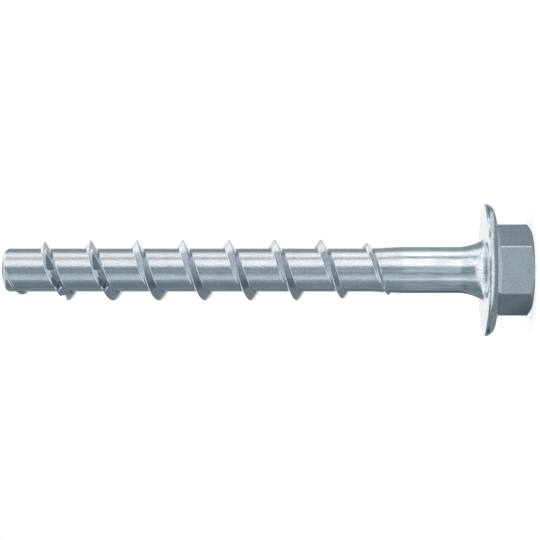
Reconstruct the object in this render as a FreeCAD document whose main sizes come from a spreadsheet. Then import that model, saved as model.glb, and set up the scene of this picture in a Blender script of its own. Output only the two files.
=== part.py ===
import FreeCAD, Part
import math
import os
import Sketcher

# Concrete screw: one forged and rolled piece of steel.
# It stands on its hexagon head. The origin is the middle of the bearing face, the flat
# underside of the flange, and +Z runs along the shank to the tip. The thread is right-handed.
# Lengths are in millimetres and angles in degrees.

NODE = "concrete_screw"

# Driving dimensions: alias, value and what it measures on the screw.
SIZES = (
    ("length", 60.0, "bearing face to the end of the tip"),
    ("core_diameter", 5.45, "core between the turns of the thread"),
    ("tip_edge_width", 0.63, "rounding of the tip's edge, measured across"),
    ("tip_edge_height", 0.55, "rounding of the tip's edge, measured along"),
    ("shank_diameter", 5.88, "plain shank under the head"),
    ("shank_length", 10.2, "bearing face to the end of the plain shank"),
    ("taper_length", 4.0, "from the plain shank down to the core"),
    ("neck_diameter", 7.9, "neck where it meets the bearing face"),
    ("neck_length", 3.3, "reach of the neck's curve along the shank"),
    ("flange_diameter", 16.76, "washer flange over its rim"),
    ("rim_chamfer", 0.15, "edge between the bearing face and the rim"),
    ("rim_height", 0.215, "bearing face to where the rim turns into its shoulder"),
    ("rim_shoulder_radius", 1.1, "rounding from the rim to the outer face"),
    ("flange_slope", 14.5, "slope of the flange's outer face"),
    ("head_height", 5.95, "bearing face to the end of the hexagon"),
    ("across_flats", 10.0, "hexagon over two opposite faces"),
    ("hexagon_inset", 0.5, "how far the flange's outer face runs in under the hexagon's faces"),
    ("hexagon_edge_radius", 0.12, "rounding of the hexagon's six long edges"),
    ("end_face_diameter", 9.88, "round end face inside the hexagon's chamfer"),
    ("end_chamfer_angle", 30.0, "angle of that chamfer to the end face"),
    ("thread_diameter", 7.64, "over the crest of the thread"),
    ("thread_pitch", 5.77, "rise of the thread in one turn"),
    ("thread_flank_angle", 60.0, "angle between the two flanks"),
    ("crest_width", 0.1, "flat on the crest of the thread"),
    ("root_depth", 0.35, "how deep the section of the thread reaches into the core"),
    ("run_out_length", 11.7, "stretch in which the thread sinks into the shank"),
    ("run_out_end", 8.8, "bearing face to the last trace of the thread"),
    ("run_in_length", 5.9, "stretch in which the thread rises from the tip"),
    ("teeth_per_turn", 8, "cutting teeth in one turn of the crest"),
    ("extra_teeth", 3, "teeth past the full turns, towards the head"),
    ("toothed_length", 11.1, "tip to the end of the full turns of teeth"),
    ("gullet_floor_diameter", 6.04, "floor of a gullet at the face of its tooth"),
    ("gullet_span", 30.0, "length of a gullet round the axis"),
    ("tooth_rake", 15.0, "lean of a tooth's face away from the radius"),
    ("tooth_azimuth", -132.4, "place round the axis of the last tooth's face"),
    ("cut_clearance", 0.6, "how far a cut reaches past the metal that it removes"),
)


def add_sheet(document):
    """Keep the driving dimensions in a spreadsheet, one alias for each."""
    sheet = document.addObject("Spreadsheet::Sheet", "sizes")
    for row, (alias, value, meaning) in enumerate(SIZES, start=1):
        sheet.set(f"A{row}", meaning)
        sheet.set(f"B{row}", str(value))
        sheet.setAlias(f"B{row}", alias)
    document.recompute()
    return sheet


def add_sketch(body, name, plane_role):
    """Add a sketch that lies on one of the body's own origin planes."""
    sketch = body.newObject("Sketcher::SketchObject", name)
    plane = [item for item in body.Origin.OriginFeatures if item.Role == plane_role][0]
    sketch.AttachmentSupport = [(plane, "")]
    sketch.MapMode = "FlatFace"
    return sketch


def turn_sketch(sketch, axis, angle):
    """Turn the sketch about one of its own axes by an angle taken from the sheet."""
    sketch.AttachmentOffset = FreeCAD.Placement(FreeCAD.Vector(), FreeCAD.Rotation(axis, 1))
    sketch.setExpression(".AttachmentOffset.Rotation.Angle", angle)


def bind(sketch, expression, kind, *place):
    """Add a dimension whose value follows the sheet."""
    value = float(sketch.evalExpression(expression))
    if kind == "Angle":
        value = math.radians(value)
    index = sketch.addConstraint(Sketcher.Constraint(kind, *place, value))
    sketch.setExpression(f"Constraints[{index}]", expression)


def hold(sketch, place, corner):
    """Hold one point of the sketch at two expressions, across and along."""
    across, along = corner
    bind(sketch, across, "DistanceX", *place)
    bind(sketch, along, "DistanceY", *place)


def add_lines(sketch, corners, closed=True):
    """Draw straight lines from corner to corner. Each corner is held by two expressions."""
    points = [FreeCAD.Vector(*map(float, map(sketch.evalExpression, pair)), 0) for pair in corners]
    ends = points[1:] + points[:1] if closed else points[1:]
    lines = [sketch.addGeometry(Part.LineSegment(a, b)) for a, b in zip(points, ends)]
    followers = lines[1:] + lines[:1] if closed else lines[1:]
    for before, after in zip(lines, followers):
        sketch.addConstraint(Sketcher.Constraint("Coincident", before, 2, after, 1))
    for line, corner in zip(lines, corners):
        hold(sketch, (line, 1), corner)
    if not closed:
        hold(sketch, (lines[-1], 2), corners[-1])
    return lines


def add_arc(sketch, centre, radius, start, end):
    """Draw an arc between two angles in degrees. Its constraints settle where it lies."""
    circle = Part.Circle(FreeCAD.Vector(*centre, 0), FreeCAD.Vector(0, 0, 1), radius)
    return sketch.addGeometry(Part.ArcOfCircle(circle, math.radians(start), math.radians(end)))


def add_feature(body, kind, name, profile, **sizes):
    """Add a feature on a sketch and tie its sizes to the sheet."""
    feature = body.newObject(f"PartDesign::{kind}", name)
    feature.Profile = profile
    for size, expression in sizes.items():
        feature.setExpression(size, expression)
    return feature


def add_turned_blank(body):
    """Turn the tip, core, shank, neck and flange as one outline round the axis."""
    sketch = add_sketch(body, "turned_outline", "XZ_Plane")
    core_side = "sizes.core_diameter / 2"
    shank_side = "sizes.shank_diameter / 2"
    rim_side = "sizes.flange_diameter / 2"
    cone_inside = "(sizes.across_flats / 2 - sizes.hexagon_inset)"
    shoulder_side = f"({rim_side} - sizes.rim_shoulder_radius)"
    shoulder_depth = "sizes.rim_height + sizes.rim_shoulder_radius / cos(sizes.flange_slope)"
    cone_rise = f"({shoulder_side} - {cone_inside}) * tan(sizes.flange_slope)"
    cone_end = f"-({shoulder_depth} + {cone_rise})"
    stem = add_lines(
        sketch,
        (
            (cone_inside, cone_end),
            ("0", cone_end),
            ("0", "sizes.length"),
            (core_side, "sizes.length"),
            (core_side, "sizes.shank_length + sizes.taper_length"),
            (shank_side, "sizes.shank_length"),
            (shank_side, "sizes.neck_length"),
        ),
        closed=False,
    )
    rim = add_lines(
        sketch,
        (
            ("sizes.neck_diameter / 2", "0"),
            (f"{rim_side} - sizes.rim_chamfer", "0"),
            (rim_side, "-sizes.rim_chamfer"),
            (rim_side, "-sizes.rim_height"),
        ),
        closed=False,
    )
    size = {name: float(sketch.evalExpression(f"sizes.{name}")) for name, *_ in SIZES}

    # The neck is one arc that leaves the shank smoothly and ends on the bearing face.
    rise = (size["neck_diameter"] - size["shank_diameter"]) / 2
    neck_radius = (size["neck_length"] ** 2 + rise**2) / (2 * rise)
    neck_centre = (size["shank_diameter"] / 2 + neck_radius, size["neck_length"])
    neck = add_arc(sketch, neck_centre, neck_radius, 180, 205)

    # The shoulder turns smoothly from the rim into the flange's sloping outer face.
    radius = size["rim_shoulder_radius"]
    centre = (float(sketch.evalExpression(shoulder_side)), -size["rim_height"])
    shoulder = add_arc(sketch, centre, radius, size["flange_slope"] - 90, 0)
    slope = math.radians(size["flange_slope"])
    cone_start = (centre[0] + radius * math.sin(slope), centre[1] - radius * math.cos(slope))
    cone_stop = (float(sketch.evalExpression(text)) for text in (cone_inside, cone_end))
    ends = (FreeCAD.Vector(*place, 0) for place in (cone_start, cone_stop))
    cone = sketch.addGeometry(Part.LineSegment(*ends))
    sketch.addConstraint(
        [
            Sketcher.Constraint("Tangent", stem[-1], 2, neck, 1),
            Sketcher.Constraint("Coincident", neck, 2, rim[0], 1),
            Sketcher.Constraint("Tangent", rim[-1], 2, shoulder, 2),
            Sketcher.Constraint("Tangent", shoulder, 1, cone, 1),
            Sketcher.Constraint("Coincident", cone, 2, stem[0], 1),
        ]
    )
    bind(sketch, "sizes.rim_shoulder_radius", "Radius", shoulder)
    blank = add_feature(body, "Revolution", "turned_blank", sketch)
    blank.ReferenceAxis = (sketch, ["V_Axis"])
    blank.Angle = 360


def draw_hexagon(sketch):
    """Draw six faces round the axis, joined by small arcs at the corners."""
    reach = "sizes.across_flats / 2"
    half_face = f"(({reach} - sizes.hexagon_edge_radius) * tan(30))"
    faces = []
    for normal in range(30, 360, 60):
        start, end = (
            (
                f"{reach} * cos({normal}) {across} {half_face} * sin({normal})",
                f"{reach} * sin({normal}) {along} {half_face} * cos({normal})",
            )
            for across, along in ("+-", "-+")
        )
        faces += add_lines(sketch, (start, end), closed=False)
    radius = float(sketch.evalExpression("sizes.hexagon_edge_radius"))
    corner_reach = (float(sketch.evalExpression(reach)) - radius) / math.cos(math.radians(30))
    for number, face in enumerate(faces):
        corner = 60 * (number + 1)
        turn = math.radians(corner)
        centre = (corner_reach * math.cos(turn), corner_reach * math.sin(turn))
        arc = add_arc(sketch, centre, radius, corner - 30, corner + 30)
        following = faces[(number + 1) % len(faces)]
        sketch.addConstraint(Sketcher.Constraint("Coincident", face, 2, arc, 1))
        sketch.addConstraint(Sketcher.Constraint("Coincident", arc, 2, following, 1))
        bind(sketch, "sizes.hexagon_edge_radius", "Radius", arc)


def add_hexagon(body):
    """Raise the hexagon from inside the flange and chamfer its end."""
    sketch = add_sketch(body, "hexagon_outline", "XY_Plane")
    draw_hexagon(sketch)
    sketch.setExpression(".AttachmentOffset.Base.z", "-sizes.rim_height")
    hexagon = add_feature(
        body, "Pad", "hexagon", sketch, Length="sizes.head_height - sizes.rim_height"
    )
    hexagon.Reversed = True

    cut = add_sketch(body, "end_chamfer_outline", "XZ_Plane")
    inner = "sizes.end_face_diameter / 2"
    outer = "(sizes.across_flats / sqrt(3) + sizes.cut_clearance)"
    below = "-sizes.head_height - sizes.cut_clearance"
    rise = f"({outer} - {inner}) * tan(sizes.end_chamfer_angle)"
    add_lines(
        cut,
        (
            (inner, "-sizes.head_height"),
            (inner, below),
            (outer, below),
            (outer, f"-sizes.head_height + {rise}"),
        ),
    )
    chamfer = add_feature(body, "Groove", "end_chamfer", cut)
    chamfer.ReferenceAxis = (cut, ["V_Axis"])
    chamfer.Angle = 360


def wind_thread(size, height, sink):
    """Sweep the thread's section up a helix whose crest rises by sink on the way up."""
    crest = size["thread_diameter"] / 2 - sink
    cone_angle = math.degrees(math.atan(sink / height))
    depth = (size["thread_diameter"] - size["core_diameter"]) / 2 + size["root_depth"]
    crest_half = size["crest_width"] / 2
    root_half = crest_half + depth * math.tan(math.radians(size["thread_flank_angle"] / 2))
    corners = (
        (crest - depth, -root_half),
        (crest, -crest_half),
        (crest, crest_half),
        (crest - depth, root_half),
        (crest - depth, -root_half),
    )
    section = Part.makePolygon([FreeCAD.Vector(across, 0, along) for across, along in corners])
    helix = Part.makeHelix(size["thread_pitch"], height, crest, cone_angle)
    sweep = Part.BRepOffsetAPI.MakePipeShell(Part.Wire(helix.Edges))
    # The section stays upright, with its crest parallel to the screw's axis.
    sweep.setBiNormalMode(FreeCAD.Vector(0, 0, 1))
    sweep.add(section)
    sweep.build()
    sweep.makeSolid()
    return sweep.shape()


def add_thread(document, sheet):
    """Wind the thread in three stretches: the run-out, the full height and the run-in."""
    size = {alias: float(sheet.get(alias)) for alias, *_ in SIZES}
    full_start = size["run_out_end"] + size["run_out_length"]
    full_end = size["length"] - size["run_in_length"]

    # At both ends the crest sinks until it lies half its own width under the surface.
    sinks = [
        (size["thread_diameter"] - size[f"{place}_diameter"] + size["crest_width"]) / 2
        for place in ("shank", "core")
    ]
    upright = FreeCAD.Rotation()
    turned_over = FreeCAD.Rotation(FreeCAD.Vector(1, 0, 0), 180)
    stretches = (
        ("thread_run_out", size["run_out_end"], size["run_out_length"], sinks[0], upright),
        ("full_thread", full_start, full_end - full_start, 0, upright),
        ("thread_run_in", size["length"], size["run_in_length"], sinks[1], turned_over),
    )
    features = []
    for name, level, height, sink, way_up in stretches:
        azimuth = 360 * (level - full_start) / size["thread_pitch"]
        turn = FreeCAD.Rotation(FreeCAD.Vector(0, 0, 1), azimuth)
        feature = document.addObject("Part::Feature", name)
        feature.Shape = wind_thread(size, height, sink)
        feature.Placement = FreeCAD.Placement(FreeCAD.Vector(0, 0, level), turn * way_up)
        features.append(feature)
    return features


def trim_tip(body):
    """Cut the tip flat, round its edge and bevel the start of the thread."""
    sketch = add_sketch(body, "tip_outline", "XZ_Plane")
    core_side = "sizes.core_diameter / 2"
    outer = "(sizes.thread_diameter / 2 + sizes.cut_clearance)"
    above = "sizes.length + sizes.thread_pitch"
    edge_start = f"{core_side} - sizes.tip_edge_width"
    edge_end = "sizes.length - sizes.tip_edge_height"
    outside = add_lines(
        sketch,
        (
            (core_side, edge_end),
            (outer, f"{edge_end} - ({outer} - {core_side})"),
            (outer, above),
            ("0", above),
            ("0", "sizes.length"),
            (edge_start, "sizes.length"),
        ),
        closed=False,
    )

    # The edge is a quarter of an ellipse, a little wider than it is high.
    places = ((core_side, edge_end), (edge_start, "sizes.length"), (edge_start, edge_end))
    right, top, middle = (
        FreeCAD.Vector(*map(float, map(sketch.evalExpression, place)), 0) for place in places
    )
    ellipse = Part.Ellipse(right, top, middle)
    edge = sketch.addGeometry(Part.ArcOfEllipse(ellipse, 0, math.pi / 2))
    sketch.exposeInternalGeometry(edge)
    sketch.addConstraint(
        [
            Sketcher.Constraint("Horizontal", edge + 1),
            Sketcher.Constraint("Coincident", edge, 1, outside[0], 1),
            Sketcher.Constraint("Coincident", edge, 2, outside[-1], 2),
        ]
    )
    hold(sketch, (edge, 3), places[2])
    trim = add_feature(body, "Groove", "tip_trim", sketch)
    trim.ReferenceAxis = (sketch, ["V_Axis"])
    trim.Angle = 360


def add_gullets(body, name, depth, count):
    """Cut sawtooth gullets in the crest from the tip down, evenly round the axis."""
    sketch = add_sketch(body, f"{name}_outline", "XY_Plane")
    turn_sketch(sketch, FreeCAD.Vector(0, 0, 1), "sizes.tooth_azimuth")
    sketch.setExpression(".AttachmentOffset.Base.z", "sizes.length")
    floor = "sizes.gullet_floor_diameter / 2"
    crest = "sizes.thread_diameter / 2"
    outer = f"({crest} + sizes.cut_clearance)"
    add_lines(
        sketch,
        (
            (floor, "0"),
            (outer, f"-({outer} - {floor}) * tan(sizes.tooth_rake)"),
            (f"{outer} * cos(sizes.gullet_span)", f"{outer} * sin(sizes.gullet_span)"),
            (f"{crest} * cos(sizes.gullet_span)", f"{crest} * sin(sizes.gullet_span)"),
        ),
    )
    gullet = add_feature(body, "Pocket", name, sketch, Length=depth)
    pattern = body.newObject("PartDesign::PolarPattern", f"{name}_pattern")
    pattern.Originals = [gullet]
    pattern.Axis = (sketch, ["N_Axis"])
    pattern.Mode = "Spacing"
    pattern.setExpression("Offset", "360 / sizes.teeth_per_turn")
    pattern.setExpression("Occurrences", count)
    body.Tip = pattern


def check(document, body):
    """Stop if any object failed or is empty, or if the screw isn't one sound solid."""
    for item in document.Objects:
        if "Invalid" in item.State or "Error" in item.State:
            raise RuntimeError(f"{item.Name} failed: {item.State}")
        if item.TypeId.startswith("Part") and not item.Shape.Solids:
            raise RuntimeError(f"{item.Name} holds no solid")
    shape = body.Shape
    if shape.isNull() or not shape.isValid() or len(shape.Solids) != 1:
        raise RuntimeError("the screw isn't one valid solid")


def main():
    document = FreeCAD.newDocument("concrete_screw_model")
    sheet = add_sheet(document)
    blank = document.addObject("PartDesign::Body", "forged_blank")
    add_turned_blank(blank)
    add_hexagon(blank)
    threaded = document.addObject("Part::MultiFuse", "threaded_blank")
    threaded.Shapes = [blank, *add_thread(document, sheet)]

    screw = document.addObject("PartDesign::Body", NODE)
    screw.Label = NODE
    screw.BaseFeature = threaded
    trim_tip(screw)
    add_gullets(screw, "full_turns", "sizes.toothed_length", "sizes.teeth_per_turn")
    last_reach = "sizes.thread_pitch * sizes.extra_teeth / sizes.teeth_per_turn"
    add_gullets(screw, "last_teeth", f"sizes.toothed_length + {last_reach}", "sizes.extra_teeth")
    document.recompute()
    check(document, screw)
    os.makedirs("parts", exist_ok=True)
    screw.Shape.exportStep(f"parts/{NODE}.step")
    print(f"{NODE}: volume {screw.Shape.Volume:.1f} mm3, faces {len(screw.Shape.Faces)}")


main()
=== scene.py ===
# %% [markdown]
# # A concrete screw, turned, rolled and plated
#
# The screw in the photograph is one piece of steel: a hexagon head with a washer flange, a
# plain shank and a coarse thread whose first turns carry small cutting teeth. A maker forges
# the head, rolls the thread between dies and plates the whole screw with zinc. This lesson
# winds the thread first and grows the head out of its lower end, so that neck, shank and
# thread are one mesh without a seam. One finish covers it all.
#
# The first cell loads the measured model. It gives the space that the visual model has to
# fill.

# %% Load the measured model
import math

import bmesh
import bpy
from mathutils import Matrix, Vector


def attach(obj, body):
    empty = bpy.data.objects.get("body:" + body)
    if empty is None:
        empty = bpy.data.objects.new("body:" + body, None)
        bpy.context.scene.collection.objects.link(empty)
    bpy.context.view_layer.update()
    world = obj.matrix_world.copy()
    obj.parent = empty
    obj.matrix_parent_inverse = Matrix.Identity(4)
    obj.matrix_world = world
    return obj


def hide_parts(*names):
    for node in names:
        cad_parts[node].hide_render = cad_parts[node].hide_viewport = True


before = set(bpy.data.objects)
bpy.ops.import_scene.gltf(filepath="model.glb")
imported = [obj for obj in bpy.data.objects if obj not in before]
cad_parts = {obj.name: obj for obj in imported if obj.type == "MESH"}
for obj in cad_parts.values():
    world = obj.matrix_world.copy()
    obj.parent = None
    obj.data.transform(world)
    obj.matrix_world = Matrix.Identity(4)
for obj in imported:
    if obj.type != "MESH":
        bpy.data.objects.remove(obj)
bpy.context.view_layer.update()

# %% [markdown]
# ## The sizes
#
# The screw stands on its head, with its tip up. The origin is the middle of the bearing face,
# the flat underside of the flange. All sizes are written in millimetres, as on a drawing, and
# one factor turns them into Blender's metres. The tip and the rim stay a hair inside the
# measured model, whose own faces are flat and reach a little less far than a true circle.

# %% Sizes of the screw in millimetres
MM = 0.001

HAIR = 0.01
LENGTH = 60.0 - HAIR
CORE = 5.45 / 2
SHANK = 5.88 / 2
SHANK_LENGTH = 10.2
TAPER_LENGTH = 4.0
CREST = 7.64 / 2
PITCH = 5.77
FLANK_SLOPE = math.tan(math.radians(30))
RUN_OUT = (8.8, 20.5)
RUN_IN = (54.1, 60.0)
SHANK_END = 8.0
TIP_ROUNDING = (0.63, 0.55)

COLUMNS = 144
TURN = 2 * math.pi
print(f"one column every {360 / COLUMNS} degrees, {TURN * CREST / COLUMNS:.2f} mm at the crest")

# %% [markdown]
# ## Winding the thread
#
# A thread is a section that climbs as it turns. `bmesh.ops.spin` does exactly that when its
# `dvec` lifts the section a little at each step. The section here is a line one pitch long, so
# each turn ends where the next one starts, and merging the doubles gives one closed skin with
# core and ridge in it. Nothing has to be joined afterwards, and the columns of the mesh run
# straight along the screw, which helps later when teeth are cut.
#
# Every turn is the same, so one is spun and the others are copies of it, each one pitch
# higher. That is much quicker than one long spin. The section starts out straight, and its
# form comes in a later step. Its rows are close together on the ridge and far apart on the
# core, where nothing bends.

# %% Wind a strip of one pitch round the core
WELD = 0.002


def section_rows():
    """Heights of the section's vertices, from half a pitch below the crest to half above."""
    ridge = [0.03, 0.06] + [0.12 + 0.06 * step for step in range(15)]
    upper = ridge + [1.2, 1.7, 2.3, PITCH / 2]
    return [-row for row in reversed(upper)] + [0.0] + upper


def wind_strip():
    """Spin one turn of the section and stack copies of it from under the thread to past the tip."""
    skin = bmesh.new()
    # At the start of the full thread the crest crosses the azimuth of the X axis. So it does
    # three pitches lower, where the strip begins.
    start = RUN_OUT[1] - 3 * PITCH
    line = [skin.verts.new(Vector((CORE, 0, start + row)) * MM) for row in section_rows()]
    edges = [skin.edges.new(pair) for pair in zip(line, line[1:])]
    bmesh.ops.spin(
        skin,
        geom=line + edges,
        cent=(0, 0, 0),
        axis=(0, 0, 1),
        dvec=(0, 0, PITCH / COLUMNS * MM),
        angle=TURN,
        steps=COLUMNS,
        use_merge=False,
    )
    first_turn = [*skin.verts, *skin.edges, *skin.faces]
    for turn in range(1, math.ceil((LENGTH - start) / PITCH) + 1):
        copy = bmesh.ops.duplicate(skin, geom=first_turn)["geom"]
        raised = [item for item in copy if isinstance(item, bmesh.types.BMVert)]
        bmesh.ops.translate(skin, verts=raised, vec=(0, 0, turn * PITCH * MM))
    bmesh.ops.remove_doubles(skin, verts=skin.verts, dist=WELD * MM)
    return skin


screw = wind_strip()
print("strip:", len(screw.verts), "vertices,", len(screw.faces), "faces")

# %% [markdown]
# ## Cutting the strip to length
#
# `bisect_plane` is the saw. It trims the strip below the thread and at the tip. More cuts just
# under the tip leave rings that will follow the rounding of its edge, and two lower down mark
# the ends of the taper.

# %% Saw the strip to length and add rings for the rounded tip
TOUCH = 0.0005


def saw(skin, level, above=False, below=False):
    """Cut the skin flat at a level and throw away what lies above or below it."""
    bmesh.ops.bisect_plane(
        skin,
        geom=[*skin.verts, *skin.edges, *skin.faces],
        dist=TOUCH * MM,
        plane_co=(0, 0, level * MM),
        plane_no=(0, 0, 1),
        clear_outer=above,
        clear_inner=below,
    )


saw(screw, SHANK_END, below=True)
saw(screw, LENGTH, above=True)
rounding_start = LENGTH - TIP_ROUNDING[1]
tip_rings = 6
for step in range(tip_rings):
    saw(screw, rounding_start + TIP_ROUNDING[1] * math.sin(TURN / 4 * step / tip_rings))
for level in (SHANK_LENGTH, SHANK_LENGTH + TAPER_LENGTH):
    saw(screw, level)
print("sawn:", len(screw.verts), "vertices")

# %% [markdown]
# ## Giving the strip its form
#
# The radius of each vertex follows from its place. The bare rod is the core, the taper and the
# shank. The ridge is a vee that sinks into the rod at both ends. Where they meet, a rolled
# thread has a small hollow, so the larger of the two radii is taken with a soft step between
# them. The crest is rounded like a worn edge.
#
# The teeth are cut last. A gullet starts with a steep step, the face of a tooth, and its floor
# climbs back to the crest in a straight line. There are eight round the screw, 45 degrees
# apart, in the first two turns. A float layer on the vertices marks those floors, because the
# finish paints shade into them, and the layer outlives the Boolean that comes later.

# %% The rod and the ridge
def soft_max(first, second, width):
    """The larger of two values, with a rounded step where they cross."""
    overlap = max(width - abs(first - second), 0) / width
    return max(first, second) + overlap * overlap * width / 4


def rod_radius(height):
    """Radius of the rod without its thread."""
    if height > rounding_start:
        rise = min((height - rounding_start) / TIP_ROUNDING[1], 1)
        return CORE - TIP_ROUNDING[0] * (1 - math.sqrt(1 - rise * rise))
    taper = (height - SHANK_LENGTH) / TAPER_LENGTH
    return SHANK + (CORE - SHANK) * min(max(taper, 0), 1)


def crest_radius(height):
    """Radius of the crest, which sinks just under the rod at both ends of the thread."""
    buried = 0.05
    rise = (height - RUN_OUT[0]) / (RUN_OUT[1] - RUN_OUT[0])
    fall = (RUN_IN[1] - height) / (RUN_IN[1] - RUN_IN[0])
    low = SHANK - buried + (CREST - SHANK + buried) * min(rise, 1)
    high = CORE - buried + (CREST - CORE + buried) * min(fall, 1)
    return min(low, high)


print("crest at 10, 15, 30 and 57 mm:", [round(crest_radius(z), 2) for z in (10, 15, 30, 57)])

# %% The teeth
# Angles along the thread count from where its full height begins. The last tooth towards
# the head stands in the fifth turn from there.
GULLET_FLOOR = 6.04 / 2
GULLET_SPAN = 30
TEETH = 8
TOOTH_AZIMUTH = 2.5
LAST_TOOTH = 5 * 360 - 132.5


def gullet_radius(turned):
    """How far out the steel reaches at an angle along the thread, in degrees."""
    along = (turned - TOOTH_AZIMUTH) % (360 / TEETH)
    if turned < LAST_TOOTH - 0.1 or along > GULLET_SPAN:
        return CREST
    along = math.radians(along)
    run_x = CREST * math.cos(math.radians(GULLET_SPAN)) - GULLET_FLOOR
    run_y = CREST * math.sin(math.radians(GULLET_SPAN))
    return GULLET_FLOOR * run_y / (math.cos(along) * run_y - math.sin(along) * run_x)


depths = [round(gullet_radius(LAST_TOOTH + along), 2) for along in (0, 15, 30)]
print("radius in a gullet at 0, 15 and 30 degrees:", depths)

# %% Move every vertex to its radius
CREST_ROUNDING = 0.04
HOLLOW_SHARE = 0.6
HOLLOW_LIMITS = (0.01, 0.22)
FLOOR_MARGINS = (0.1, 0.01)


def form_skin(skin):
    """Give every vertex its radius, and mark the floors of the gullets for their painted shade."""
    gullet_shade_mark = skin.verts.layers.float.new("gullet")
    for vertex in skin.verts:
        x, y, z = vertex.co / MM
        azimuth = math.degrees(math.atan2(y, x))
        # The nearest crest straight above or below decides how the ridge looks here.
        turned = (z - RUN_OUT[1]) / PITCH * 360
        turned = azimuth + 360 * round((turned - azimuth) / 360)
        crest_height = RUN_OUT[1] + turned / 360 * PITCH
        aside = abs(z - crest_height)
        crest = crest_radius(crest_height)
        vee = crest - (math.hypot(aside, CREST_ROUNDING) - CREST_ROUNDING) / FLANK_SLOPE
        # A hair further round, so that a column on the face of a tooth belongs to its gullet.
        cut = gullet_radius(turned + 0.01)
        ridge = min(vee, cut, CORE + max(rounding_start - z, 0))
        rod = rod_radius(z)
        hollow = min(max((crest - rod) * HOLLOW_SHARE, HOLLOW_LIMITS[0]), HOLLOW_LIMITS[1])
        radius = soft_max(rod, ridge, hollow)
        if z > rounding_start:
            radius = rod
        elif rod + FLOOR_MARGINS[0] < cut < vee - FLOOR_MARGINS[1]:
            # The floor of a gullet is marked for its painted shade.
            vertex[gullet_shade_mark] = 1
        flat = Vector((x, y)).normalized() * radius
        vertex.co = Vector((*flat, z)) * MM


form_skin(screw)
reach = max(vertex.co.xy.length for vertex in screw.verts) / MM
print(f"largest radius of the thread: {reach:.3f} mm")

# %% [markdown]
# ## Closing the tip
#
# The tip is cropped flat. Its last ring is an open loop of edges, and `contextual_create`
# would close it with one many-sided face. An extruded ring scaled to a point gives a fan of
# triangles instead, which stays clean when it is smoothed.

# %% Close an open loop at a height
def open_loop(skin, level):
    """The open edges of the skin at one height."""
    found = []
    for edge in skin.edges:
        heights = [vertex.co.z / MM for vertex in edge.verts]
        if edge.is_boundary and all(abs(height - level) < 0.01 for height in heights):
            found.append(edge)
    return found


def pull_ring(skin, ring, radius, level):
    """Extrude an open loop and set the radius and the height of the new one."""
    made = bmesh.ops.extrude_edge_only(skin, edges=ring)["geom"]
    for vertex in (item for item in made if isinstance(item, bmesh.types.BMVert)):
        flat = vertex.co.xy.normalized() * radius * MM
        vertex.co = Vector((*flat, level * MM))
    fresh = [item for item in made if isinstance(item, bmesh.types.BMEdge)]
    return [edge for edge in fresh if edge.is_boundary]


def close_ring(skin, ring):
    """Draw an open loop together into its middle."""
    made = bmesh.ops.extrude_edge_only(skin, edges=ring)["geom"]
    fan = [item for item in made if isinstance(item, bmesh.types.BMVert)]
    middle = sum((vertex.co for vertex in fan), Vector()) / len(fan)
    bmesh.ops.pointmerge(skin, verts=fan, merge_co=middle)


TIP_RING = 1.2
tip_loop = open_loop(screw, LENGTH)
print("open edges at the tip:", len(tip_loop))
close_ring(screw, pull_ring(screw, tip_loop, TIP_RING, LENGTH))

# %% [markdown]
# ## The neck and the flange
#
# The head grows from the other open loop, ring by ring, as a lathe tool would follow an
# outline: down the shank, out along the concave neck, through a small round corner, across the
# bearing face, round the rim and in along the sloping outer face. A short helper gives the
# arcs of that outline.

# %% Outline of the neck and the flange
NECK = 7.9 / 2
NECK_LENGTH = 3.3
RIM = 16.76 / 2 - HAIR
RIM_HEIGHT = 0.215
SHOULDER = 1.1
SLOPE = math.radians(14.5)
CONE_INSIDE = 4.5
FLATS = 10.0
HEAD_END = -5.95


def arc(centre, radius, start, end, steps):
    """Points on an arc, from one angle to another in degrees."""
    angles = (math.radians(start + (end - start) * step / steps) for step in range(steps + 1))
    return [(centre[0] + radius * math.cos(a), centre[1] + radius * math.sin(a)) for a in angles]


neck_rise = NECK - SHANK
neck_radius = (NECK_LENGTH**2 + neck_rise**2) / (2 * neck_rise)
neck_end = math.degrees(math.asin(NECK_LENGTH / neck_radius))
edge_radius = 0.16
corner_radius = 0.8
corner_reach = corner_radius * math.tan(math.radians(90 - neck_end) / 2)
corner_centre = (NECK + corner_reach, corner_radius)
shoulder_centre = (RIM - SHOULDER, -RIM_HEIGHT)
shoulder_end = math.degrees(SLOPE) - 90
cone_end = shoulder_centre[1] - SHOULDER / math.cos(SLOPE)
cone_end -= (shoulder_centre[0] - CONE_INSIDE) * math.tan(SLOPE)

outline = [(SHANK, 6.0), (SHANK, 4.4)]
# The round corner takes the place of the last two points of the neck.
outline += arc((SHANK + neck_radius, NECK_LENGTH), neck_radius, 180, 180 + neck_end, 10)[:-2]
outline += arc(corner_centre, corner_radius, 180 + neck_end, 270, 6)
outline += [(radius, 0.0) for radius in (4.8, 5.8, 7.2)]
outline += arc((RIM - edge_radius, -edge_radius), edge_radius, 90, 0, 4)
outline += arc(shoulder_centre, SHOULDER, 0, shoulder_end, 10)
cone_ring = 6.4
outline += [(cone_ring, cone_end + (cone_ring - CONE_INSIDE) * math.tan(SLOPE))]
outline += [(CONE_INSIDE, cone_end)]
print("rings in the head:", len(outline), "cone ends at", round(cone_end, 3), "mm")

# %% Grow the neck and the flange
ring = open_loop(screw, SHANK_END)
for radius, level in outline:
    ring = pull_ring(screw, ring, radius, level)
close_ring(screw, ring)
bmesh.ops.remove_doubles(screw, verts=screw.verts, dist=TOUCH * MM)
bmesh.ops.recalc_face_normals(screw, faces=screw.faces)
open_edges = sum(not edge.is_manifold for edge in screw.edges)
print("open or doubled edges:", open_edges, "faces:", len(screw.faces))

# %% [markdown]
# ## The hexagon
#
# A six-sided prism comes from `create_cone` with six segments. Its long edges are bevelled,
# because a forged corner is never knife-sharp and the bevel catches a line of light. The end
# is chamfered on a lathe, so the chamfer is a cone, and it meets each face in a curve. A
# Boolean modifier finds that curve: it keeps what the prism shares with a turned blank.

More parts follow.
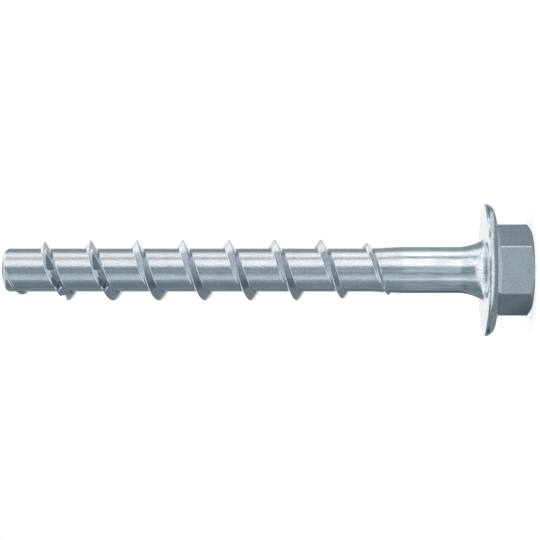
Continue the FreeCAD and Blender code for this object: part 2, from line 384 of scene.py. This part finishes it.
# %% Make the prism and the turned blank
def as_object(skin, name):
    """Put a finished bmesh into the scene as an object at the origin."""
    mesh = bpy.data.meshes.new(name)
    skin.to_mesh(mesh)
    skin.free()
    made = bpy.data.objects.new(name, mesh)
    bpy.context.collection.objects.link(made)
    return made


def hexagon_prism():
    """A prism from the end of the head to inside the flange, with its long edges bevelled."""
    prism = bmesh.new()
    top = -1.2
    edge_width = 0.1
    bmesh.ops.create_cone(
        prism,
        cap_ends=True,
        segments=6,
        radius1=FLATS / math.sqrt(3) * MM,
        radius2=FLATS / math.sqrt(3) * MM,
        depth=(top - HEAD_END) * MM,
        matrix=Matrix.Translation((0, 0, (top + HEAD_END) / 2 * MM)),
    )
    corner = max(prism.verts, key=lambda vertex: vertex.co.x)
    turn = Matrix.Rotation(-math.atan2(corner.co.y, corner.co.x), 3, "Z")
    bmesh.ops.rotate(prism, verts=prism.verts, cent=(0, 0, 0), matrix=turn)
    upright = [e for e in prism.edges if abs(e.verts[0].co.z - e.verts[1].co.z) > MM]
    bmesh.ops.bevel(
        prism,
        geom=upright,
        offset=edge_width * MM,
        affect="EDGES",
        segments=3,
        profile=0.5,
        material=-1,
    )
    return as_object(prism, "hexagon_prism")


def turned_blank():
    """A turned body with the end face and the chamfer that the hexagon is cut to."""
    chamfer = math.tan(math.radians(30))
    end_radius = 4.94
    outer = 6.6
    points = [
        (0, HEAD_END),
        (end_radius, HEAD_END),
        (outer, HEAD_END + (outer - end_radius) * chamfer),
        (outer, 0),
        (0, 0),
    ]
    blank = bmesh.new()
    line = [blank.verts.new((radius * MM, 0, level * MM)) for radius, level in points]
    edges = [blank.edges.new(pair) for pair in zip(line, line[1:])]
    bmesh.ops.spin(
        blank, geom=line + edges, axis=(0, 0, 1), angle=TURN, steps=COLUMNS, use_merge=True
    )
    bmesh.ops.remove_doubles(blank, verts=blank.verts, dist=TOUCH * MM)
    bmesh.ops.recalc_face_normals(blank, faces=blank.faces)
    return as_object(blank, "turned_blank")


hexagon = hexagon_prism()
blank = turned_blank()
print("prism:", len(hexagon.data.polygons), "faces; blank:", len(blank.data.polygons))

# %% Combine solids
def combine(target, other, operation):
    """Apply a Boolean modifier and delete the other solid."""
    modifier = target.modifiers.new(operation.lower(), "BOOLEAN")
    modifier.operation = operation
    modifier.solver = "EXACT"
    modifier.object = other
    graph = bpy.context.evaluated_depsgraph_get()
    result = bpy.data.meshes.new_from_object(target.evaluated_get(graph))
    target.modifiers.clear()
    target.data = result
    bpy.data.objects.remove(other)


combine(hexagon, blank, "INTERSECT")
body = as_object(screw, "zinc_plated_screw")
combine(body, hexagon, "UNION")
print("whole screw:", len(body.data.polygons), "faces")

# %% Clean the whole skin and mark its sharp edges
SHARP_ANGLE = 22


def tidy_skin(piece, sharp_angle):
    """Merge doubles, shade smooth up to an angle and count the edges that aren't closed."""
    skin = bmesh.new()
    skin.from_mesh(piece.data)
    bmesh.ops.remove_doubles(skin, verts=skin.verts, dist=TOUCH * MM)
    bmesh.ops.recalc_face_normals(skin, faces=skin.faces)
    loose = sum(not edge.is_manifold for edge in skin.edges)
    skin.to_mesh(piece.data)
    skin.free()
    piece.data.polygons.foreach_set("use_smooth", [True] * len(piece.data.polygons))
    piece.data.set_sharp_from_angle(angle=math.radians(sharp_angle))
    return loose


print("edges that aren't closed:", tidy_skin(body, SHARP_ANGLE))
marks = body.data.attributes["gullet"].data
print("vertices on gullet floors:", sum(mark.value > 0.5 for mark in marks))
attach(body, "root")
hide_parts("concrete_screw")

# %% [markdown]
# ## Writing a finish as arithmetic
#
# Long chains of Math nodes are hard to read. The small class below wraps a socket, so that an
# expression such as `1 - mask * 0.5` adds the nodes by itself. Everything that isn't plain
# arithmetic goes through one method of the second class, which sets the node's own settings
# first and then its sockets.

# %% Shader maths
class Value:
    """A number that varies over the surface. Python's operators add Math nodes to it."""

    def __init__(self, tree, socket):
        self.tree = tree
        self.socket = socket

    def math(self, operation, *others):
        node = self.tree.nodes.new("ShaderNodeMath")
        node.operation = operation
        for inlet, value in zip(node.inputs, (self, *others)):
            plug(self.tree, inlet, value)
        return Value(self.tree, node.outputs[0])

    def reverse(self, operation, other):
        node = self.tree.nodes.new("ShaderNodeMath")
        node.operation = operation
        plug(self.tree, node.inputs[0], other)
        plug(self.tree, node.inputs[1], self)
        return Value(self.tree, node.outputs[0])

    def __add__(self, other):
        return self.math("ADD", other)

    def __sub__(self, other):
        return self.math("SUBTRACT", other)

    def __mul__(self, other):
        return self.math("MULTIPLY", other)

    def __truediv__(self, other):
        return self.math("DIVIDE", other)

    def __radd__(self, other):
        return self.reverse("ADD", other)

    def __rsub__(self, other):
        return self.reverse("SUBTRACT", other)

    def __rmul__(self, other):
        return self.reverse("MULTIPLY", other)

    def __rtruediv__(self, other):
        return self.reverse("DIVIDE", other)


def plug(tree, inlet, value):
    """Link a socket, or set its number or colour."""
    if isinstance(value, Value):
        value = value.socket
    if isinstance(value, bpy.types.NodeSocket):
        tree.links.new(value, inlet)
    else:
        inlet.default_value = value


class Finish:
    """A node tree, started empty."""

    def __init__(self, owner):
        owner.use_nodes = True
        self.tree = owner.node_tree
        self.tree.nodes.clear()

    def add(self, kind, settings=None, sockets=None):
        """Add a node, set it, and then fill its sockets with numbers or links."""
        node = self.tree.nodes.new(f"ShaderNode{kind}")
        for key, value in (settings or {}).items():
            if key == "stops":
                stops = node.color_ramp.elements
                while len(stops) < len(value):
                    stops.new(0.5)
                for stop, (place, tone) in zip(stops, value):
                    stop.position = place
                    stop.color = tone if isinstance(tone, tuple) else (tone, tone, tone, 1)
            else:
                setattr(node, key, value)
        for key, value in (sockets or {}).items():
            plug(self.tree, node.inputs[key], value)
        return node

    def value(self, node, output=0):
        return Value(self.tree, node.outputs[output])

    def blend(self, factor, first, second):
        """Mix two colours."""
        node = self.add("Mix", {"data_type": "RGBA"}, {0: factor, 6: first, 7: second})
        return node.outputs[2]

    def step(self, value, low, high):
        """A smooth rise from 0 to 1 between two values."""
        sockets = {"Value": value, "From Min": low, "From Max": high}
        return self.value(self.add("MapRange", {"interpolation_type": "SMOOTHSTEP"}, sockets))


print("shader maths ready")

# %% [markdown]
# ## Zinc on steel
#
# The plating is bright and slightly blue. On the shank and between the turns the steel was
# drawn and rolled, which leaves fine streaks along the screw, with a speckle between the
# turns where the dies pressed it. The head was struck in a die and has a fine, even mottle.
# The floors of the gullets are painted darker, as painted shade in these recesses. All patterns
# read Object coordinates, which are metres on the screw itself, so they stay put in every
# view, and the painted shade of the gullets comes from the mark on the vertices.

# %% The zinc finish
def noise(finish, place, scale, detail, stretch=(1, 1, 1)):
    """Noise between 0 and 1. The scale is in grains to the millimetre."""
    mapped = finish.add(
        "Mapping",
        {"vector_type": "POINT"},
        {"Vector": place, "Scale": Vector(stretch) * scale / MM},
    )
    node = finish.add(
        "TexNoise",
        {"noise_dimensions": "3D"},
        {"Vector": mapped.outputs[0], "Scale": 1.0, "Detail": detail, "Roughness": 0.6},
    )
    return finish.value(node, "Fac")


def new_finish(piece, name):
    """Give a piece a new material, and return its node tree to fill."""
    material = bpy.data.materials.new(name)
    piece.data.materials.clear()
    piece.data.materials.append(material)
    return Finish(material)


DULL_ZINC = (0.47, 0.53, 0.58, 1)
BRIGHT_ZINC = (0.65, 0.72, 0.77, 1)
# The colour of the painted shade in the floors of the gullets.
GULLET_SHADE_ZINC = (0.22, 0.27, 0.31, 1)


def plate_with_zinc(piece):
    """Bright plating: streaks on the shank, speckle between the turns, mottle on the head, and
    painted shade over the thread and in the gullets.
    """
    finish = new_finish(piece, "zinc_on_steel")
    place = finish.add("TexCoord").outputs["Object"]
    parts = finish.add("SeparateXYZ", None, {"Vector": place})
    height = finish.value(parts, "Z") / MM

    # Masks from 0 to 1 that rise over a stretch of the screw, in millimetres.
    rolled = finish.step(height, 0.2, 3.0)
    threaded = finish.step(height, 8.0, 13.0)
    hexagon = finish.step(height * -1, 1.1, 1.5)
    streaks = noise(finish, place, 2.6, 3.0, (1, 1, 0.035))
    fine_streaks = noise(finish, place, 4.6, 2.0, (1, 1, 0.09))
    mottle = noise(finish, place, 4.2, 3.0)
    cloud = noise(finish, place, 0.45, 2.0)

    lines = streaks * 0.6 + fine_streaks * 0.4
    speckled = threaded * 0.5
    lines = lines * (1 - speckled) + mottle * speckled
    pattern = rolled * lines + (1 - rolled) * mottle
    spread = 0.12 + hexagon * 0.11
    tone = finish.step(pattern * 0.8 + cloud * 0.2, 0.5 - spread, 0.5 + spread)
    # Over the thread the colour is darker: painted shade of the turns on one another.
    tone = tone * (1 - threaded * 0.35)
    colour = finish.blend(tone, DULL_ZINC, BRIGHT_ZINC)
    # Painted shade: the gullet floors, marked on the vertices, take the darker colour.
    floors = finish.value(finish.add("Attribute", {"attribute_name": "gullet"}), "Fac")
    colour = finish.blend(floors * 0.75, colour, GULLET_SHADE_ZINC)
    roughness = 0.08 + threaded * 0.04 + (1 - pattern) * 0.1 + hexagon * 0.12

    waves = noise(finish, place, 0.8, 1.0) * 3 * (1 - hexagon)
    grain = mottle * (0.4 - hexagon * 0.14)
    relief = rolled * (lines + mottle * (0.35 + threaded * 0.6)) + (1 - rolled) * (grain + waves)
    bump = finish.add(
        "Bump", None, {"Strength": 0.6, "Distance": 0.02 * MM, "Height": relief}
    )
    shader = finish.add(
        "BsdfPrincipled",
        None,
        {"Base Color": colour, "Metallic": 1.0, "Roughness": roughness, "Normal": bump.outputs[0]},
    )
    finish.add("OutputMaterial", None, {"Surface": shader.outputs[0]})
    return finish


plating = plate_with_zinc(body)
print("zinc finish:", len(plating.tree.nodes), "nodes")

# %% [markdown]
# ## The floor and the backdrop
#
# The screw stands on a pale floor in front of a white backdrop. The world is that backdrop: an
# even white of strength 1, which also lights the floor. To the camera the floor adds a little
# light of its own, so that it is as white as the backdrop and still shows the soft shadow of
# the head. The metal's reflections pass the floor by and meet the low part of the studio,
# which would otherwise be hidden behind it.

# %% Lay the floor and hang the backdrop
def disc(name, radius, level):
    """A flat disc about the screw's axis."""
    plate = bmesh.new()
    bmesh.ops.create_circle(plate, cap_ends=True, segments=96, radius=radius * MM)
    bmesh.ops.translate(plate, verts=plate.verts, vec=(0, 0, level * MM))
    return as_object(plate, name)


FLOOR_RADIUS = 600
FLOOR_GLOW = 0.45


def lay_floor():
    """A white floor under the head, which glows a little for the camera."""
    floor = disc("studio_floor", FLOOR_RADIUS, HEAD_END)
    finish = new_finish(floor, "pale_floor")
    paint = finish.add("BsdfDiffuse", None, {"Color": (0.8, 0.8, 0.8, 1)})
    glow = finish.add("Emission", None, {"Color": (1, 1, 1, 1), "Strength": FLOOR_GLOW})
    both = finish.add("AddShader", None, {0: paint.outputs[0], 1: glow.outputs[0]})
    # The glow is for rays that end in the eye: straight, reflected or through glass. The
    # reflections in the screw are the exception, and pass the floor by.
    rays = finish.add("LightPath")
    seen = finish.value(rays, "Is Camera Ray")
    for kind in ("Is Glossy Ray", "Is Transmission Ray"):
        seen = seen.math("MAXIMUM", finish.value(rays, kind))
    choice = finish.add("MixShader", None, {0: seen, 1: paint.outputs[0], 2: both.outputs[0]})
    finish.add("OutputMaterial", None, {"Surface": choice.outputs[0]})
    floor.visible_glossy = False
    return floor


def hang_backdrop():
    """A world of even white."""
    world = bpy.data.worlds.new("white_backdrop")
    bpy.context.scene.world = world
    finish = Finish(world)
    light = finish.add("Background", None, {"Color": (1, 1, 1, 1), "Strength": 1.0})
    finish.add("OutputWorld", None, {"Surface": light.outputs[0]})


floor = lay_floor()
hang_backdrop()
print("floor:", len(floor.data.polygons), "face at", HEAD_END, "mm")

# %% [markdown]
# ## Soft lights and dark cards
#
# Bright metal looks like what stands round it, and before pure white it would vanish. So a
# photographer puts soft lights and dark cards round it. Here they are an open drum about the
# screw, painted with light in upright bands, a card hung low under the screw, which the rim of
# the flange and the lower flanks of the thread show, and a very small one over the tip. Each
# band of the drum becomes a streak along the shank, and is dimmer where the thread or the
# hexagon shows it. Only the metal's reflections meet the drum and the cards, and above and
# below the drum they meet the white backdrop.

# %% The bands of the drum, from the far side round past the camera
DRUM_RADIUS = 900
DRUM_ENDS = (-450, 1500)
STRONGEST = 1.8
# Each band has its azimuth in degrees, with the camera at 0, and the strength of its light.
# A ramp's tones end at 1, which stands for STRONGEST here.
BANDS = [
    (-180, 1.06), (-166, 1.04), (-156, 0.4), (-141, 0.2), (-128, 0.15), (-118, 0.42), (-87, 0.44),
    (-80, 0.46), (-56, 0.56), (-51, 0.95), (-46, 1.25), (-41, 0.85), (-26, 0.76),
    (-20, 0.5), (-13, 0.55), (-9, 0.95), (-4, 0.75), (14, 0.66), (19, 1.0), (24, 1.62),
    (50, 1.62), (56, 1.3), (61, 0.6), (68, 0.7), (73, 1.45), (79, 1.62), (93, 1.62),
    (100, 1.15), (108, 0.65), (117, 0.5), (150, 0.5), (164, 1.06),
]


def reflected_only(card):
    """Hide a card from everything but the reflections in the metal."""
    card.visible_camera = False
    card.visible_diffuse = False
    card.visible_transmission = False
    card.visible_shadow = False


def shine(finish, tint, strength):
    """Give off light whose colour and strength both vary over the card."""
    colour = finish.add("VectorMath", {"operation": "SCALE"}, {0: tint, "Scale": strength})
    light = finish.add("Emission", None, {"Color": colour.outputs[0], "Strength": 1.0})
    finish.add("OutputMaterial", None, {"Surface": light.outputs[0]})


def at(degrees):
    """Place on the colour ramp of an azimuth. The camera is at 0."""
    return 0.5 + degrees / 360


print("bands:", len(BANDS), "darkest:", min(strength for azimuth, strength in BANDS))

# %% Stand the drum up
CARD_TINT = (0.79, 0.95, 1.015, 1)
LAMP_TINT = (1.16, 1.03, 0.965, 1)
OPEN_TOP = 1.35
# Where its light changes, in millimetres. LOW_END counts downwards.
FAR_SIDE = (700, 820)
HIGH_PART = (-20, 120)
LOW_END = (60, 90)
TOP_FADE = (550, 900)


def mask(finish, about, rise, fall):
    """1 between two azimuths, with a soft rise before and a soft fall after."""
    return finish.step(about, *map(at, rise)) - finish.step(about, *map(at, fall))


def stand_drum():
    """An open drum of light, made of upright bands and dimmed in a few places."""
    shell = bmesh.new()
    ends = [shell.verts.new(Vector((0, -DRUM_RADIUS, z)) * MM) for z in DRUM_ENDS]
    side = [*ends, shell.edges.new(ends)]
    bmesh.ops.spin(shell, geom=side, axis=(0, 0, 1), angle=TURN, steps=72, use_merge=True)
    drum = as_object(shell, "light_drum")
    finish = new_finish(drum, "light_bands")
    place = finish.add("TexCoord").outputs["Object"]
    parts = finish.add("SeparateXYZ", None, {"Vector": place})
    x, y, z = (finish.value(parts, axis) / MM for axis in "XYZ")
    about = x.math("ARCTAN2", y * -1) / TURN + 0.5
    stops = [(at(azimuth), strength / STRONGEST) for azimuth, strength in BANDS]
    bands = finish.value(finish.add("ValToRGB", {"stops": stops}, {"Fac": about})) * STRONGEST
    # The thread shows the high part of the drum, and the hexagon its low end. Behind the camera
    # the high part is darker. All round, but not at the far side, the low end is dimmer and
    # the bands of the high part are fainter.
    front = mask(finish, about, (-22, -16), (15, 20))
    near = 1 - finish.step(y, *FAR_SIDE)
    high = finish.step(z, *HIGH_PART) * near
    low = finish.step(z * -1, *LOW_END) * near
    bands = bands * (1 - front * high * 0.56) * (1 - low * 0.36)
    bands = bands * (1 - high * 0.32) + high * 0.23
    # Beside the thread the high part is darker too, as if a card hung there on either side.
    left = mask(finish, about, (-130, -108), (-80, -38))
    right = mask(finish, about, (106, 118), (140, 160))
    bands = bands * (1 - (left * 0.4 + right * 0.25) * high)
    # Towards its open top the drum fades into the light from above.
    bands = bands + finish.step(z, *TOP_FADE) * (OPEN_TOP - bands)
    # The dark cards are blue-grey. The lamps are a little warm, because the zinc is blue and
    # its highlights are white all the same.
    tint = finish.blend(finish.step(bands, 0.2, STRONGEST), CARD_TINT, LAMP_TINT)
    shine(finish, tint, bands)
    reflected_only(drum)
    return drum


drum = stand_drum()
print("drum:", len(drum.data.polygons), "faces")

# %% Hang the two cards
# Each card has its radius and its level.
LOWER_CARD = (200, -60)
UPPER_CARD = (7, LENGTH + 15)
PALE_CARD_TINT = (0.84, 0.95, 1, 1)


def hang_cards():
    """A grey card below, bright in front and on one side, and a small one above the tip."""
    below = disc("lower_card", *LOWER_CARD)
    finish = new_finish(below, "lower_card")
    place = finish.add("TexCoord").outputs["Object"]
    parts = finish.add("SeparateXYZ", None, {"Vector": place})
    x, y = (finish.value(parts, axis) / MM for axis in "XY")
    tone = 0.34 + finish.step(x, -30, 30) * 0.06
    side = finish.step(x, 45, 80) * (1 - finish.step(y, 80, 110))
    tone = tone + side * (0.95 - tone)
    tone = tone + finish.step(y * -1, 25, 75) * (1.2 - tone)
    tint = finish.blend(finish.step(tone, 0.4, 1.1), PALE_CARD_TINT, (1, 1, 1, 1))
    shine(finish, tint, tone)
    reflected_only(below)

    above = disc("upper_card", *UPPER_CARD)
    finish = new_finish(above, "upper_card")
    light = finish.add("Emission", None, {"Color": PALE_CARD_TINT, "Strength": 0.4})
    finish.add("OutputMaterial", None, {"Surface": light.outputs[0]})
    reflected_only(above)


hang_cards()

# %% [markdown]
# ## The camera
#
# The photograph shows the screw from the side, with the tip on the left. Here the screw
# stands, so the camera lies on its side: its right is down, and its top is the X axis. The
# near rim of the flange and the near crests show that the camera stood about 18 cm away, and
# opposite the upper end of the taper, not the middle of the picture. Blender's `shift_x`
# slides the picture on the sensor until the whole screw is in it, and all lines along the
# screw stay parallel.

# %% Set up the camera
DISTANCE = 176.0
EYE = 14.87
MIDDLE = 26.81
VIEW_WIDTH = 67.91
SENSOR = 36.0


def set_camera():
    """A camera on its side, opposite the height EYE on the screw."""
    lens = bpy.data.cameras.new("camera")
    lens.sensor_width = SENSOR
    lens.lens = SENSOR * DISTANCE / VIEW_WIDTH
    lens.shift_x = (EYE - MIDDLE) / VIEW_WIDTH
    lens.clip_start = 0.01
    made = bpy.data.objects.new("camera", lens)
    right, up, back = Vector((0, 0, -1)), Vector((1, 0, 0)), Vector((0, -1, 0))
    turned = Matrix((right, up, back)).transposed().to_4x4()
    made.matrix_world = Matrix.Translation(Vector((0, -DISTANCE, EYE)) * MM) @ turned
    bpy.context.collection.objects.link(made)
    bpy.context.scene.camera = made
    return made


camera = set_camera()
bpy.context.scene.view_settings.view_transform = "Standard"
print("lens:", round(camera.data.lens, 1), "mm, shift:", round(camera.data.shift_x, 3))
